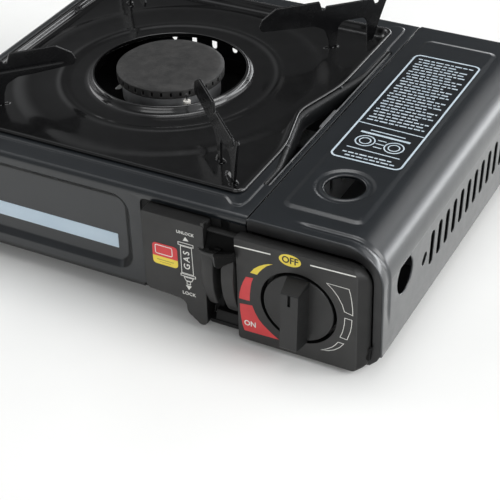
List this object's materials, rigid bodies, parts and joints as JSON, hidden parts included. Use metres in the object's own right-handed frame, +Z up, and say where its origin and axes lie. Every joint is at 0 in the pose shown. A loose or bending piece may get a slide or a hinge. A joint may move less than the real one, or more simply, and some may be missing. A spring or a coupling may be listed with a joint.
{
  "type": "butane cassette stove",
  "caption": "Flat sheet-metal cassette gas stove with a hinged canister lid, lift-off drip tray with pan arms, turn knob and lock lever.",
  "frame": {"origin": "centre of the bounding box's footprint, on the surface the feet stand on", "axes": "+X to the right seen from the knob's side (canister bay on +X), +Y towards the back, +Z up; the controls face -Y"},
  "size_m": [0.345, 0.295, 0.119],
  "materials": {
    "navy_paint": "satin powder coat, dark navy charcoal",
    "black_paint": "satin black paint",
    "black_enamel": "glossy black vitreous enamel",
    "galvanised": "galvanised sheet, dull",
    "zinc_screws": "zinc plated",
    "panel_plastic": "fine textured charcoal moulding",
    "knob_plastic": "satin black moulding",
    "diecast": "die-cast, matt",
    "brass": "turned brass",
    "aluminium_sheet": "bright rolled sheet",
    "burner_iron": "black coated cast burner cap",
    "rubber": "soft black rubber",
    "ceramic_white": "glazed insulator",
    "lead_sleeve": "silicone sleeve",
    "strip_film": "pale silver-blue film",
    "sticker_film": "red and yellow film",
    "label_film": "dark film with a pale frame"
  },
  "bodies": {
    "body": {"body_shell": "navy_paint", "base_pan": "black_paint", "end_plate_front": "black_paint", "end_plate_rear": "navy_paint", "partition_wall": "galvanised", "control_panel": "panel_plastic", "lever_cradle": "panel_plastic", "panel_screws": "zinc_screws", "badge_strip": "strip_film", "panel_label": "sticker_film", "valve_bracket": "galvanised", "valve_body": "brass", "regulator_body": "diecast", "regulator_cap": "diecast", "regulator_diaphragm": "rubber", "regulator_spring": "zinc_screws", "can_socket": "brass", "socket_seal": "rubber", "gas_pipe": "zinc_screws", "jet_nozzle": "brass", "mixing_tube": "galvanised", "burner_bracket": "galvanised", "burner_base": "diecast", "burner_cap": "burner_iron", "burner_screws": "zinc_screws", "spark_electrode": "ceramic_white", "electrode_clip": "galvanised", "electrode_wire": "zinc_screws", "piezo_igniter": "knob_plastic", "ignition_lead": "lead_sleeve", "heat_plate": "aluminium_sheet", "can_saddle_front": "galvanised", "can_saddle_rear": "galvanised", "hinge_bracket_front": "galvanised", "hinge_bracket_rear": "galvanised", "lid_hinge_pins": "zinc_screws", "lever_pivot_pin": "zinc_screws", "clamp_guide": "galvanised", "foot_front_left": "rubber", "foot_front_right": "rubber", "foot_rear_left": "rubber", "foot_rear_right": "rubber", "base_screws": "zinc_screws"},
    "knob": {"knob": "knob_plastic", "knob_shaft": "brass"},
    "lever": {"lock_lever": "knob_plastic"},
    "clamp": {"clamp_slide": "galvanised"},
    "lid": {"canister_lid": "navy_paint", "lid_label": "label_film"},
    "tray": {"drip_tray": "black_enamel", "trivet_arm_front_right": "black_enamel", "trivet_arm_front_left": "black_enamel", "trivet_arm_rear_left": "black_enamel", "trivet_arm_rear_right": "black_enamel", "arm_rivets": "zinc_screws"}
  },
  "joints": [
    {"name": "knob_turn", "type": "hinge", "parent": "body", "child": "knob", "pos_m": [0.123, -0.135, 0.0385], "axis": [0, -1, 0], "range_deg": [0, 140]},
    {"name": "lever_press", "type": "hinge", "parent": "body", "child": "lever", "pos_m": [0.07, -0.085, 0.046], "axis": [1, 0, 0], "range_deg": [0, 40]},
    {"name": "clamp_travel", "type": "slide", "parent": "body", "child": "clamp", "axis": [0, -1, 0], "range_m": [0, 0.0068]},
    {"name": "lid_swing", "type": "hinge", "parent": "body", "child": "lid", "pos_m": [0.091, 0.011, 0.081], "axis": [0, -1, 0], "range_deg": [0, 100]},
    {"name": "tray_lift", "type": "slide", "parent": "body", "child": "tray", "axis": [0, 0, 1], "range_m": [0, 0.12]}
  ],
  "couplings": [
    {"joint": "clamp_travel", "follows": "lever_press", "m_per_rad": 0.0092}
  ]
}
